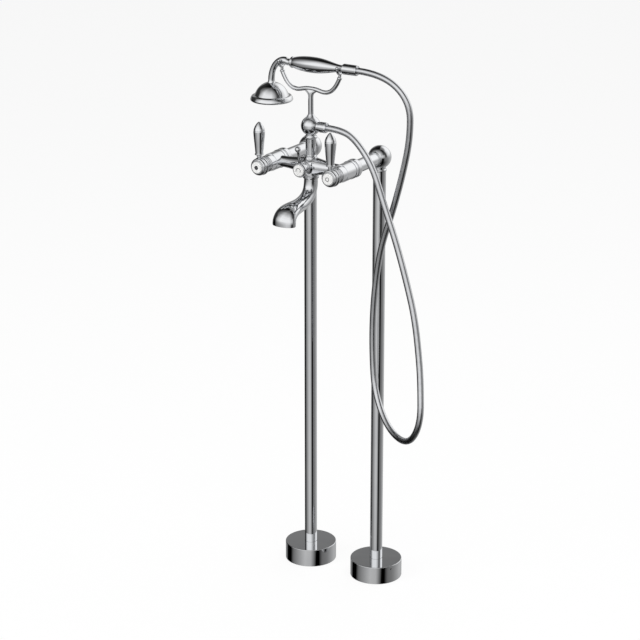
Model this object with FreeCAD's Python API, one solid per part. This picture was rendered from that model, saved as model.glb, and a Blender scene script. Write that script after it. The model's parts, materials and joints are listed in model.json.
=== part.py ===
import FreeCAD, Part
import math
import os

# Floor standing bath filler: two standpipes carry a mixer with a spout, two
# lever valves, a diverter and a telephone handset on its cradle.
# Millimetres, +X to the right seen from the front, -Y to the front, +Z up.
# The origin is on the floor, midway between the two standpipes.

os.makedirs("parts", exist_ok=True)
V = FreeCAD.Vector

# ---------------------------------------------------------------- sizes
# Standpipes and feet
PIPE_SPACING = 150.0        # between the two standpipes
PIPE_R = 12.0
PIPE_WALL = 1.5
SHROUD_R = 50.0
SHROUD_H = 34.8
SHROUD_WALL = 2.5
SHROUD_PIPE_GAP = 0.3       # round hole in the shroud's top to the pipe
FLANGE_T = 5.0
FLANGE_GAP = 0.3            # flange rim to the inside of the shroud
RIM_WALL = 3.8
RIM_H = 31.0
BOSS_R = 18.0
BOSS_H = 26.0
PIPE_SEAT_Z = 8.0           # where the standpipe stands inside the boss
INLET_R = 9.0
FLOOR_HOLE_R = 2.75
FLOOR_HOLE_OFFSET = 22.0    # from the pipe's axis, along X and along Y
SHROUD_SCREW_R = 2.0
SHROUD_SCREW_Z = 28.0
SHROUD_SCREW_ANGLE = -24.0  # degrees from +X, towards the front
CLAMP_SCREW_R = 2.5
CLAMP_SCREW_Z = 18.0

# Elbows on top of the standpipes, and the legs to the mixer
AXIS_Z = 842.0              # height of the valves' axes
ELBOW_R = 21.6
ELBOW_NECK_R = 13.2
ELBOW_NECK_END = 26.0       # from the ball's centre down to the neck's end
ELBOW_FRONT_END = 23.0      # from the ball's centre to its front collar's end
WATERWAY_R = 7.0
SPIGOT_LEN = 24.0
SPIGOT_FIT = 0.1            # spigot to the inside of the standpipe
O_RING_R = 1.0
LEG_R = 12.0
LEG_WALL = 2.5
LEG_SOCKET = 5.0            # depth that the leg goes into the elbow

# Unions and valve barrels, measured to the front from the standpipes' plane
NUT_BACK = 87.5
NUT_LEN = 13.0
NUT_R = 17.4
NUT_LEG_GAP = 0.15
UNION_BORE_R = 14.4         # inside the nut, over the barrel's thread
UNION_WASHER_T = 2.0
GROOVE_LEN = 3.0
BARREL_R = 16.2
BARREL_COLLAR_R = 17.0
BARREL_COLLAR_LEN = 5.5
BARREL_LEN = 34.5
AXIS_SETBACK = 14.5         # from the barrel's back face to the mixer's axis
CARTRIDGE_R = 10.8
CARTRIDGE_DEPTH = 24.0
GLAND_R = 12.2
GLAND_LEN = 5.0
CARTRIDGE_NECK_R = 8.0
CARTRIDGE_NECK_LEN = 15.0
SPINDLE_R = 4.0
SPINDLE_RUN = 0.05          # running clearance round a spindle
SPINDLE_DEPTH = 8.0         # how far a spindle reaches into its barrel
BONNET_R = 15.2
BONNET_LEN = 25.5
BONNET_FIT = 0.3

# Lever hubs and levers
HUB_GAP = 0.4
HUB_LEN = 17.6
HUB_R = 16.8
CAP_R = 10.3
CAP_FIT = 0.1
CAP_RECESS = 2.6
CAP_PROUD = 2.3
SCREW_R = 1.7
SCREW_HEAD_R = 3.5
SCREW_HEAD_LEN = 3.0
LEVER_STEM_R = 3.0
LEVER_STEM_ROOT = 9.5       # heights up the lever, from the hub's axis
LEVER_COLLAR_R = 4.7
LEVER_SLEEVE_START = 21.6
LEVER_SLEEVE_END = 66.5
LEVER_R = 10.5
FINIAL_LEN = 16.5
FINIAL_NOSE_R = 3.4
FINIAL_NOSE_ANGLE = 52.0    # from the tip to where the rounded nose starts

# Mixer body
BAR_END_R = 10.4
BODY_R = 17.2
SPOUT_BOSS_R = 14.4
SPOUT_BOSS_END = 18.0       # below the mixer's axis
COLUMN_BOSS_R = 11.4
COLUMN_BOSS_END = 19.0      # above the mixer's axis
BODY_BORE_R = 5.5
SPIGOT_R = 8.0
SPIGOT_DEPTH = 8.0

# Diverter, measured to the front from the mixer's axis
DIVERTER_BOSS_R = 13.2
DIVERTER_BOSS_END = 21.0
DIVERTER_CARTRIDGE_R = 9.2
DIVERTER_DEPTH = 26.0
DIVERTER_NECK_R = 6.4
DIVERTER_BONNET_LEN = 10.0
DIVERTER_SPINDLE_R = 3.5
DIVERTER_HUB_R = 13.5
DIVERTER_HUB_LEN = 10.6
DIVERTER_CAP_R = 10.3
DIVERTER_CAP_RECESS = 1.4
DIVERTER_STEM_R = 2.8
DIVERTER_BALL_R = 5.4
DIVERTER_REACH = 39.8       # from the diverter's axis up to the ball
DIVERTER_LEAN = 8.0         # how far the ball stands in front of its root

# Spout, measured to the front from its own upright axis and down from the axis height
SPOUT_R = 12.8
SPOUT_BORE_R = 7.5
SPOUT_COLLAR_R = 15.0
SPOUT_COLLAR_H = 5.0
SPOUT_REACH = 90.5
SPOUT_DROP = 90.0
MOUTH_HALF_WIDTH = 23.2
MOUTH_HALF_DEPTH = 13.2
MOUTH_WALL = 2.2
MOUTH_RECESS = 5.0
AERATOR_R = 8.6
AERATOR_LEN = 12.0

# Column and cradle
COLUMN_R = 9.6
COLUMN_WALL = 2.0
COLUMN_RISE = 51.0          # top of the column above the mixer's axis
COLLAR_NUT_R = 11.6
COLLAR_NUT_H = 5.0
BALL_R = 18.0
BALL_RISE = 18.0            # ball's centre above the collar nut
BALL_TIP = 21.5             # from the ball's centre up to the end of its taper
OUTLET_BOSS_R = 9.0
OUTLET_BOSS_END = 20.0
NIPPLE_R = 5.2
NIPPLE_LEN = 9.0
HOSE_NUT_R = 9.6
HOSE_NUT_LEN = 14.4
STEM_R = 4.8
STEM_SOCKET = 10.0
YOKE_R = 3.9
YOKE_DIP = 64.3             # lowest point of the yoke above the ball's centre
YOKE_HUMP = 3.7             # how far its middle stands above that
FORK_X = 61.0
FORK_WIRE_R = 2.5
FORK_BALL_R = 3.3
FORK_GAP = 0.3              # cup to the handle that lies in it
FORK_TIP_RISE = 1.8         # fork tips above the handle's axis
HANDLE_RISE = 47.2          # handle's axis above the yoke's lowest point

# Handset, measured along X from the cradle's middle
GRIP_START = -36.0
GRIP_END = 66.0
GRIP_R = 14.3
GRIP_END_R = 6.7
GRIP_BORE_R = 5.2
FERRULE_LEN = 5.0
FERRULE_R = 10.2
NECK_R = 6.9
NECK_BORE_R = 4.0
NECK_BEND_R = 5.8
HEAD_X = -83.5
HEAD_DROP = 42.0            # handle's axis down to the top of the dome
DOME_H = 23.0
DOME_TOP_R = 8.0
DOME_R = 31.4
DOME_WALL = 2.0
RIM_R = 39.0
RIM_LEN = 10.8
FACE_R = 33.5
FACE_T = 3.0
NOZZLE_R = 1.3
NOZZLE_RINGS = ((9.0, 6), (18.0, 12), (27.0, 18))
TAIL_COLLAR_R = 6.2
TAIL_COLLAR_LEN = 2.5
TAIL_NUT_R = 9.6
TAIL_NUT_LEN = 28.5

# Shower hose
HOSE_R = 6.0
HOSE_BORE_R = 4.2

# ------------------------------------------------------- places from the sizes
BARREL_BACK = NUT_BACK + NUT_LEN + GROOVE_LEN
BARREL_FRONT = BARREL_BACK + BARREL_LEN
BODY_D = BARREL_BACK + AXIS_SETBACK
BODY_Y = -BODY_D
HUB_BACK = BARREL_FRONT + BONNET_LEN + HUB_GAP
HUB_FRONT = HUB_BACK + HUB_LEN
LEVER_D = HUB_BACK + 0.52 * HUB_LEN
CAP_FLOOR = HUB_FRONT - CAP_RECESS
SPINDLE_END = LEVER_D - LEVER_STEM_R + 2.0
CARTRIDGE_BACK = BARREL_FRONT - CARTRIDGE_DEPTH
DIVERTER_FRONT = BODY_D + DIVERTER_BOSS_END
DIVERTER_HUB_BACK = DIVERTER_FRONT + DIVERTER_BONNET_LEN + HUB_GAP
DIVERTER_HUB_FRONT = DIVERTER_HUB_BACK + DIVERTER_HUB_LEN
SPOUT_TOP = AXIS_Z - SPOUT_BOSS_END
COLUMN_FOOT = AXIS_Z + COLUMN_BOSS_END
COLUMN_TOP = AXIS_Z + COLUMN_RISE
BALL_Z = COLUMN_TOP + COLLAR_NUT_H + BALL_RISE
YOKE_Z = BALL_Z + YOKE_DIP
HANDLE_Z = YOKE_Z + HANDLE_RISE
HOSE_NUT_END = OUTLET_BOSS_END + HOSE_NUT_LEN
TAIL_NUT_START = GRIP_END + TAIL_COLLAR_LEN
TAIL_NUT_END = TAIL_NUT_START + TAIL_NUT_LEN
DOME_TOP = HANDLE_Z - HEAD_DROP
DOME_FOOT = DOME_TOP - DOME_H

UP = (0, 0, 1)
DOWN = (0, 0, -1)
FRONT = (0, -1, 0)
RIGHT = (1, 0, 0)
ACROSS = V(1, 0, 0)

# The hose: from the outlet on the ball, down in front of the right standpipe,
# round its loop and up to the nut on the handset's tail. The points are corners
# of its route; every corner is rounded.
HOSE_POINTS = (
    (HOSE_NUT_END, BODY_Y, BALL_Z),
    (63, -118, 916),
    (92, -118, 904),
    (129, -120, 862),
    (154, -122, 797),
    (182, -125, 731),
    (207, -130, 664),
    (230, -137, 598),
    (245, -146, 527),
    (254, -155, 482),
    (265, -172, 411),
    (226, -149, 355),
    (164, -113, 361),
    (119, -86, 416),
    (111, -82, 488),
    (112, -84, 563),
    (120, -88, 637),
    (135, -94, 708),
    (161, -100, 776),
    (184, -107, 847),
    (202, -113, 919),
    (203, -117, 986),
    (150, -118, 1027.5),
    (TAIL_NUT_END, BODY_Y, HANDLE_Z),
)

nodes = {}


# ---------------------------------------------------------------- helpers
def put(shape, origin, direction):
    """Move a shape drawn about +Z so that its +Z runs along direction."""
    turn = FreeCAD.Rotation(V(0, 0, 1), V(*direction))
    moved = shape.copy()
    moved.Placement = FreeCAD.Placement(V(*origin), turn).multiply(shape.Placement)
    return moved


def turned(*steps):
    """Solid of revolution about +Z from its outline, given as (height, radius).

    ("arc", mid, end) bends through mid to end, and ("curve", p, q, ...) is a
    smooth line through all its points.
    """
    foot = V(0, 0, steps[0][0])
    here = V(steps[0][1], 0, steps[0][0])
    edges = []
    if here.x > 0:
        edges.append(Part.LineSegment(foot, here).toShape())
    for step in steps[1:]:
        if step[0] == "arc":
            mid, end = [V(r, 0, h) for h, r in step[1:]]
            edges.append(Part.Arc(here, mid, end).toShape())
        elif step[0] == "curve":
            through = [here] + [V(r, 0, h) for h, r in step[1:]]
            curve = Part.BSplineCurve()
            curve.interpolate(through)
            edges.append(curve.toShape())
            end = through[-1]
        else:
            end = V(step[1], 0, step[0])
            edges.append(Part.LineSegment(here, end).toShape())
        here = end
    head = V(0, 0, here.z)
    if here.x > 0:
        edges.append(Part.LineSegment(here, head).toShape())
    edges.append(Part.LineSegment(head, foot).toShape())
    return Part.Face(Part.Wire(edges)).revolve(V(0, 0, 0), V(0, 0, 1), 360)


def rod(radius, start, end):
    """Cylinder about +Z between two heights."""
    return Part.makeCylinder(radius, end - start, V(0, 0, start))


def tube(outer, inner, start, end):
    return rod(outer, start, end).cut(rod(inner, start - 1, end + 1))


def ring(radius, wire_r, height):
    """O-ring about +Z."""
    return Part.makeTorus(radius, wire_r, V(0, 0, height), V(0, 0, 1))


def hexagon(across, start, end):
    """Six-sided bar about +Z, for socket keys."""
    reach = across / math.sqrt(3)
    corners = []
    for i in range(7):
        angle = math.radians(60 * i)
        corners.append(V(reach * math.cos(angle), reach * math.sin(angle), start))
    return Part.Face(Part.makePolygon(corners)).extrude(V(0, 0, end - start))


def oval(centre, tangent, across, half_across, half_other):
    """Closed oval square to tangent; it starts on its own across side, so that lofts don't twist."""
    other = V(*tangent).cross(across)
    other.normalize()
    points = []
    for i in range(16):
        angle = 2 * math.pi * i / 16
        out = across * (half_across * math.cos(angle)) + other * (half_other * math.sin(angle))
        points.append(centre + out)
    curve = Part.BSplineCurve()
    curve.interpolate(points, True)
    return Part.Wire(curve.toShape())


def round_section(centre, tangent, radius):
    return Part.Wire(Part.Circle(centre, V(*tangent), radius).toShape())


def swept(path, radius):
    """Round bar of one radius along a wire."""
    first = path.OrderedEdges[0] if hasattr(path, "OrderedEdges") else path.Edges[0]
    start = first.valueAt(first.FirstParameter)
    tangent = first.tangentAt(first.FirstParameter)
    profile = round_section(start, tangent, radius)
    return path.makePipeShell([profile], True, False)


def rounded_route(points):
    """Wire of straight runs with a tangent arc at each corner, and its least radius."""
    corners = [V(*p) for p in points]
    edges = []
    radii = []
    here = corners[0]
    for before, corner, after in zip(corners, corners[1:], corners[2:]):
        back = before - corner
        on = after - corner
        shorter = min(back.Length, on.Length)
        half_turn = (math.pi - back.getAngle(on)) / 2
        reach = 0.45 * shorter
        radius = reach / math.tan(half_turn)
        back.normalize()
        on.normalize()
        start = corner + back * reach
        end = corner + on * reach
        middle_way = back + on
        middle_way.normalize()
        mid = corner + middle_way * (radius / math.cos(half_turn) - radius)
        edges.append(Part.LineSegment(here, start).toShape())
        edges.append(Part.Arc(start, mid, end).toShape())
        radii.append(radius)
        here = end
    edges.append(Part.LineSegment(here, corners[-1]).toShape())
    return Part.Wire(edges), radii


# ---------------------------------------------------------------- feet
def make_foot(side, x):
    base = (x, 0, 0)
    rim_r = SHROUD_R - SHROUD_WALL - FLANGE_GAP
    flange = rod(rim_r, 0, FLANGE_T)
    flange = flange.fuse(tube(rim_r, rim_r - RIM_WALL, 0, RIM_H))
    flange = flange.fuse(rod(BOSS_R, 0, BOSS_H))
    flange = flange.cut(rod(PIPE_R, PIPE_SEAT_Z, BOSS_H + 1))
    flange = flange.cut(rod(INLET_R, -1, PIPE_SEAT_Z + 1))
    for dx in (-1, 1):
        for dy in (-1, 1):
            hole = Part.makeCylinder(
                FLOOR_HOLE_R, FLANGE_T + 2, V(dx * FLOOR_HOLE_OFFSET, dy * FLOOR_HOLE_OFFSET, -1)
            )
            flange = flange.cut(hole)
    for way in (1, -1):
        hole = put(rod(CLAMP_SCREW_R, 0, BOSS_R + 1), (0, 0, CLAMP_SCREW_Z), (0, way, 0))
        flange = flange.cut(hole)
    nodes["floor_flange_" + side] = put(flange, base, UP)

    top = SHROUD_H - SHROUD_WALL
    shroud = turned(
        (0, SHROUD_R),
        (SHROUD_H - 1.0, SHROUD_R),
        ("arc", (SHROUD_H - 0.3, SHROUD_R - 0.3), (SHROUD_H, SHROUD_R - 1.0)),
    )
    shroud = shroud.cut(rod(SHROUD_R - SHROUD_WALL, -1, top))
    shroud = shroud.cut(rod(PIPE_R + SHROUD_PIPE_GAP, top - 1, SHROUD_H + 1))
    hole = put(rod(SHROUD_SCREW_R, SHROUD_R - 2 * SHROUD_WALL, SHROUD_R + 1), (0, 0, SHROUD_SCREW_Z), screw_way())
    nodes["base_shroud_" + side] = put(shroud.cut(hole), base, UP)

    pipe = tube(PIPE_R, PIPE_R - PIPE_WALL, PIPE_SEAT_Z, AXIS_Z - ELBOW_NECK_END)
    nodes["standpipe_" + side] = put(pipe, base, UP)


def screw_way():
    angle = math.radians(SHROUD_SCREW_ANGLE)
    return (math.cos(angle), math.sin(angle), 0)


def make_foot_screws(places):
    """Both shrouds' grub screws, and all the screws that clamp the standpipes."""
    rim_r = SHROUD_R - SHROUD_WALL - FLANGE_GAP
    grub = rod(SHROUD_SCREW_R, rim_r, SHROUD_R - 0.3).cut(hexagon(2.0, SHROUD_R - 2.2, SHROUD_R))
    clamp = rod(CLAMP_SCREW_R, PIPE_R, BOSS_R + 1.5)
    clamp = clamp.cut(hexagon(2.5, BOSS_R - 1.0, BOSS_R + 2))
    grubs = []
    clamps = []
    for x in places:
        grubs.append(put(grub, (x, 0, SHROUD_SCREW_Z), screw_way()))
        for way in (1, -1):
            clamps.append(put(clamp, (x, 0, CLAMP_SCREW_Z), (0, way, 0)))
    nodes["shroud_grub_screws"] = Part.makeCompound(grubs)
    nodes["standpipe_clamp_screws"] = Part.makeCompound(clamps)


# ---------------------------------------------------------------- elbows, legs and unions
SPIGOT_OUTER_R = PIPE_R - PIPE_WALL - SPIGOT_FIT
SPIGOT_GROOVES = (SPIGOT_LEN * 0.35, SPIGOT_LEN * 0.7)


def make_elbow(side, x):
    """Ball elbow, drawn with its ball at the origin and its spigot downwards."""
    neck_end = -ELBOW_NECK_END
    ball = Part.makeSphere(ELBOW_R)
    neck = turned(
        (neck_end, ELBOW_NECK_R - 0.6),
        ("arc", (neck_end + 1.6, ELBOW_NECK_R), (neck_end + 3.4, ELBOW_NECK_R - 0.5)),
        (neck_end + 4.4, PIPE_R - 0.4),
        (-ELBOW_R * 0.7, PIPE_R - 0.4),
    )
    spigot = rod(SPIGOT_OUTER_R, neck_end - SPIGOT_LEN, neck_end)
    for depth in SPIGOT_GROOVES:
        groove = tube(SPIGOT_OUTER_R + 1, SPIGOT_OUTER_R - 2 * O_RING_R, 0, 2.4 * O_RING_R)
        spigot = spigot.cut(put(groove, (0, 0, neck_end - depth - 1.2 * O_RING_R), UP))
    collar = turned(
        (ELBOW_R * 0.7, LEG_R + 0.8),
        (ELBOW_FRONT_END - 2.4, LEG_R + 0.8),
        ("arc", (ELBOW_FRONT_END - 1.2, LEG_R + 1.6), (ELBOW_FRONT_END, LEG_R + 0.8)),
    )
    solid = ball.fuse([neck, put(collar, (0, 0, 0), FRONT)])
    solid = solid.fuse(spigot)
    solid = solid.cut(rod(WATERWAY_R, neck_end - SPIGOT_LEN - 1, 0))
    solid = solid.cut(put(rod(WATERWAY_R, 0, ELBOW_FRONT_END + 1), (0, 0, 0), FRONT))
    solid = solid.cut(Part.makeSphere(WATERWAY_R))
    socket = rod(LEG_R, ELBOW_FRONT_END - LEG_SOCKET, ELBOW_FRONT_END + 1)
    solid = solid.cut(put(socket, (0, 0, 0), FRONT))
    nodes["ball_elbow_" + side] = put(solid, (x, 0, AXIS_Z), UP)


def make_seals(places):
    rings = []
    washers = []
    for x in places:
        for depth in SPIGOT_GROOVES:
            height = AXIS_Z - ELBOW_NECK_END - depth
            seal = ring(SPIGOT_OUTER_R - O_RING_R + SPIGOT_FIT / 2, O_RING_R, height)
            rings.append(put(seal, (x, 0, 0), UP))
        washer = tube(UNION_BORE_R - 0.4, WATERWAY_R + 1, NUT_BACK + 6.5, NUT_BACK + 6.5 + UNION_WASHER_T)
        washers.append(put(washer, (x, 0, AXIS_Z), FRONT))
    nodes["elbow_o_rings"] = Part.makeCompound(rings)
    nodes["union_washers"] = Part.makeCompound(washers)


def make_union(side, x):
    """Leg with its collar, and the nut that draws it to the barrel."""
    hub = (x, 0, AXIS_Z)
    collar_back = NUT_BACK + 3.5
    collar_front = NUT_BACK + 6.5
    leg = rod(LEG_R, ELBOW_FRONT_END - LEG_SOCKET, collar_front)
    leg = leg.fuse(rod(UNION_BORE_R - 0.3, collar_back, collar_front))
    leg = leg.cut(rod(LEG_R - LEG_WALL, 0, collar_front + 1))
    nodes["leg_" + side] = put(leg, hub, FRONT)

    nut_front = NUT_BACK + NUT_LEN
    nut = turned(
        (NUT_BACK, LEG_R + 1.2),
        ("curve", (NUT_BACK + 0.7, NUT_R - 1.6), (NUT_BACK + 3.2, NUT_R - 0.2), (NUT_BACK + 6.0, NUT_R)),
        (nut_front - 1.4, NUT_R - 0.5),
        ("arc", (nut_front - 0.5, NUT_R - 0.9), (nut_front, NUT_R - 1.9)),
    )
    nut = nut.cut(rod(LEG_R + NUT_LEG_GAP, NUT_BACK - 1, nut_front + 1))
    nut = nut.cut(rod(UNION_BORE_R, collar_back, nut_front + 1))
    nodes["union_nut_" + side] = put(nut, hub, FRONT)


# ---------------------------------------------------------------- valves and levers
def make_valve(side, x):
    """Cartridge and bonnet, which stay on the mixer."""
    hub = (x, 0, AXIS_Z)
    gland_end = BARREL_FRONT + GLAND_LEN
    neck_end = gland_end + CARTRIDGE_NECK_LEN
    cartridge = rod(CARTRIDGE_R, CARTRIDGE_BACK, BARREL_FRONT)
    cartridge = cartridge.fuse(rod(GLAND_R, BARREL_FRONT, gland_end))
    cartridge = cartridge.fuse(rod(CARTRIDGE_NECK_R, gland_end, neck_end))
    window = put(rod(CARTRIDGE_R * 0.3, -2 * CARTRIDGE_R, 2 * CARTRIDGE_R), (0, 0, CARTRIDGE_BACK + 6), RIGHT)
    cartridge = cartridge.cut(window)
    cartridge = cartridge.cut(rod(CARTRIDGE_R * 0.3, CARTRIDGE_BACK - 1, CARTRIDGE_BACK + 6))
    spindle_hole = rod(SPINDLE_R + SPINDLE_RUN, BARREL_FRONT - SPINDLE_DEPTH - 0.2, neck_end + 1)
    nodes["cartridge_" + side] = put(cartridge.cut(spindle_hole), hub, FRONT)

    end = BARREL_FRONT + BONNET_LEN
    waist = BONNET_R - 1.9
    bonnet = turned(
        (BARREL_FRONT, BONNET_R),
        ("curve", (BARREL_FRONT + 5, BONNET_R + 0.1), (BARREL_FRONT + 14, BONNET_R - 0.3)),
        ("arc", (BARREL_FRONT + 15.2, BONNET_R - 0.7), (BARREL_FRONT + 16, waist)),
        (end - 8.4, waist),
        ("arc", (end - 7.0, BONNET_R - 0.6), (end - 5.6, waist)),
        (end - 4.4, waist),
        ("arc", (end - 2.6, BONNET_R - 0.5), (end - 0.9, waist)),
        (end, waist - 0.6),
    )
    bonnet = bonnet.cut(rod(GLAND_R + BONNET_FIT, BARREL_FRONT - 1, gland_end + BONNET_FIT))
    bonnet = bonnet.cut(rod(CARTRIDGE_NECK_R, gland_end, end + 1))
    nodes["bonnet_" + side] = put(bonnet, hub, FRONT)


def make_lever(side, x):
    """Everything that turns with one lever: spindle, hub, lever, screw and cap."""
    axis = (x, 0, AXIS_Z)
    spindle = rod(SPINDLE_R, BARREL_FRONT - SPINDLE_DEPTH, SPINDLE_END)
    spindle = spindle.cut(rod(SCREW_R, SPINDLE_END - 10, SPINDLE_END + 1))
    nodes["spindle_" + side] = put(spindle, axis, FRONT)

    head_seat = SPINDLE_END + 2.2
    groove = HUB_BACK + 0.44 * HUB_LEN
    hub = turned(
        (HUB_BACK, HUB_R - 3.0),
        (HUB_BACK + 0.6, HUB_R - 1.6),
        ("arc", (HUB_BACK + 3.4, HUB_R), (groove - 0.8, HUB_R - 1.6)),
        (groove, HUB_R - 2.6),
        ("arc", (groove + 3.6, HUB_R - 0.9), (HUB_FRONT - 2.4, HUB_R - 2.6)),
        (HUB_FRONT - 1.8, HUB_R - 3.8),
        ("arc", (HUB_FRONT - 0.6, HUB_R - 4.1), (HUB_FRONT, HUB_R - 5.0)),
    )
    hub = hub.cut(rod(CAP_R + CAP_FIT, CAP_FLOOR, HUB_FRONT + 1))
    hub = hub.cut(rod(SPINDLE_R, HUB_BACK - 1, SPINDLE_END))
    hub = hub.cut(rod(SCREW_R + 0.2, SPINDLE_END - 1, head_seat + 1))
    hub = hub.cut(rod(SCREW_HEAD_R + 0.2, head_seat, CAP_FLOOR + 1))
    hub = put(hub, axis, FRONT)
    root = (x, -LEVER_D, AXIS_Z)
    hub = hub.cut(put(rod(LEVER_STEM_R, LEVER_STEM_ROOT, HUB_R + 2), root, UP))
    nodes["lever_hub_" + side] = hub

    screw = rod(SCREW_R, SPINDLE_END - 9, head_seat)
    screw = screw.fuse(rod(SCREW_HEAD_R, head_seat, head_seat + SCREW_HEAD_LEN))
    screw = screw.cut(hexagon(2.5, head_seat + 1, head_seat + SCREW_HEAD_LEN + 1))
    nodes["lever_screw_" + side] = put(screw, axis, FRONT)

    cap_end = HUB_FRONT + CAP_PROUD
    cap = turned(
        (CAP_FLOOR, CAP_R),
        (cap_end - 1.4, CAP_R),
        ("arc", (cap_end - 0.4, CAP_R - 0.5), (cap_end, CAP_R - 1.6)),
    )
    nodes["index_cap_" + side] = put(cap, axis, FRONT)

    stem_end = LEVER_SLEEVE_START + 9
    stem = turned(
        (LEVER_STEM_ROOT, LEVER_STEM_R),
        (HUB_R + 0.4, LEVER_STEM_R),
        ("arc", (LEVER_SLEEVE_START - 2.2, LEVER_COLLAR_R), (LEVER_SLEEVE_START - 0.6, LEVER_COLLAR_R - 0.4)),
        (LEVER_SLEEVE_START, LEVER_COLLAR_R - 0.9),
        (LEVER_SLEEVE_START, LEVER_STEM_R),
        (stem_end, LEVER_STEM_R),
    )
    nodes["lever_stem_" + side] = put(stem, root, UP)
    foot = LEVER_SLEEVE_START
    top = LEVER_SLEEVE_END
    sleeve = turned(
        (foot, LEVER_R * 0.5),
        (foot + 0.5, LEVER_R * 0.72),
        ("arc", (foot + 1.6, LEVER_R * 0.79), (foot + 2.7, LEVER_R * 0.73)),
        (foot + 3.6, LEVER_R * 0.69),
        ("curve", (foot + 16, LEVER_R * 0.79), (foot + 30, LEVER_R * 0.92), (top - 4, LEVER_R)),
        (top - 1.2, LEVER_R),
        (top, LEVER_R * 0.95),
    )
    nodes["lever_sleeve_" + side] = put(sleeve.cut(rod(LEVER_STEM_R, foot - 1, stem_end)), root, UP)
    tip = top + FINIAL_LEN
    nose = tip - FINIAL_NOSE_R
    nose_start = math.radians(FINIAL_NOSE_ANGLE)
    nose_half = nose_start / 2
    shoulder = (nose + FINIAL_NOSE_R * math.cos(nose_start), FINIAL_NOSE_R * math.sin(nose_start))
    middle = (nose + FINIAL_NOSE_R * math.cos(nose_half), FINIAL_NOSE_R * math.sin(nose_half))
    finial = turned(
        (top, LEVER_R * 0.9),
        (top + 0.8, LEVER_R * 0.98),
        ("curve", (top + 5.2, LEVER_R * 0.86), (top + 10.6, LEVER_R * 0.6), shoulder),
        ("arc", middle, (tip, 0)),
    )
    nodes["lever_finial_" + side] = put(finial, root, UP)


# ---------------------------------------------------------------- mixer body
def make_body():
    half = PIPE_SPACING / 2
    bar_end = half - BARREL_R + 2.5
    bar = turned(
        (-bar_end, BAR_END_R),
        (
            "curve",
            (-0.6 * bar_end, BAR_END_R + 1.5),
            (-BODY_R - 7, BAR_END_R + 3.4),
            (-BODY_R * 0.62, BODY_R - 1.1),
            (0, BODY_R),
            (BODY_R * 0.62, BODY_R - 1.1),
            (BODY_R + 7, BAR_END_R + 3.4),
            (0.6 * bar_end, BAR_END_R + 1.5),
            (bar_end, BAR_END_R),
        ),
    )
    centre = (0, BODY_Y, AXIS_Z)
    body = put(bar, centre, RIGHT)
    spout_boss = turned(
        (0, SPOUT_BOSS_R),
        (SPOUT_BOSS_END - 2.2, SPOUT_BOSS_R),
        ("arc", (SPOUT_BOSS_END - 1.1, SPOUT_BOSS_R + 0.8), (SPOUT_BOSS_END, SPOUT_BOSS_R)),
    )
    column_boss = turned(
        (0, COLUMN_BOSS_R + 5.6),
        (11, COLUMN_BOSS_R + 4.0),
        ("curve", (14.2, COLUMN_BOSS_R + 1.0), (COLUMN_BOSS_END - 2, COLUMN_BOSS_R - 0.4)),
        ("arc", (COLUMN_BOSS_END - 1, COLUMN_BOSS_R), (COLUMN_BOSS_END, COLUMN_BOSS_R - 0.4)),
    )
    front_boss = turned(
        (0, DIVERTER_BOSS_R),
        (DIVERTER_BOSS_END - 1, DIVERTER_BOSS_R),
        (DIVERTER_BOSS_END, DIVERTER_BOSS_R - 1),
    )
    body = body.fuse([put(spout_boss, centre, DOWN), put(column_boss, centre, UP), put(front_boss, centre, FRONT)])
    for x in (-half, half):
        hub = (x, 0, AXIS_Z)
        barrel = turned(
            (NUT_BACK + 6.5 + UNION_WASHER_T, UNION_BORE_R),
            (BARREL_BACK, UNION_BORE_R),
            (BARREL_BACK, BARREL_COLLAR_R - 0.6),
            ("arc", (BARREL_BACK + 0.5, BARREL_COLLAR_R), (BARREL_BACK + 1.2, BARREL_COLLAR_R)),
            (BARREL_BACK + BARREL_COLLAR_LEN, BARREL_COLLAR_R),
            (BARREL_BACK + BARREL_COLLAR_LEN + 1, BARREL_R),
            (BARREL_FRONT, BARREL_R),
        )
        body = body.fuse(put(barrel, hub, FRONT))
    for x in (-half, half):
        hub = (x, 0, AXIS_Z)
        body = body.cut(put(rod(CARTRIDGE_R, CARTRIDGE_BACK, BARREL_FRONT + 1), hub, FRONT))
        body = body.cut(put(rod(WATERWAY_R, NUT_BACK, CARTRIDGE_BACK + 1), hub, FRONT))
    body = body.cut(put(rod(BODY_BORE_R, -half, half), centre, RIGHT))
    body = body.cut(put(rod(BODY_BORE_R, 0, COLUMN_BOSS_END + 1), centre, UP))
    body = body.cut(put(rod(BODY_BORE_R, 0, BODY_R + 1), centre, DOWN))
    body = body.cut(put(rod(SPIGOT_R, SPOUT_BOSS_END - SPIGOT_DEPTH, BODY_R + 1), centre, DOWN))
    column_hole = rod(COLUMN_R - 1.6, COLUMN_BOSS_END - SPIGOT_DEPTH, COLUMN_BOSS_END + 1)
    body = body.cut(put(column_hole, centre, UP))
    diverter_hole = rod(DIVERTER_CARTRIDGE_R, DIVERTER_BOSS_END - DIVERTER_DEPTH, DIVERTER_BOSS_END + 1)
    body = body.cut(put(diverter_hole, centre, FRONT))
    nodes["mixer_body"] = body


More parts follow.
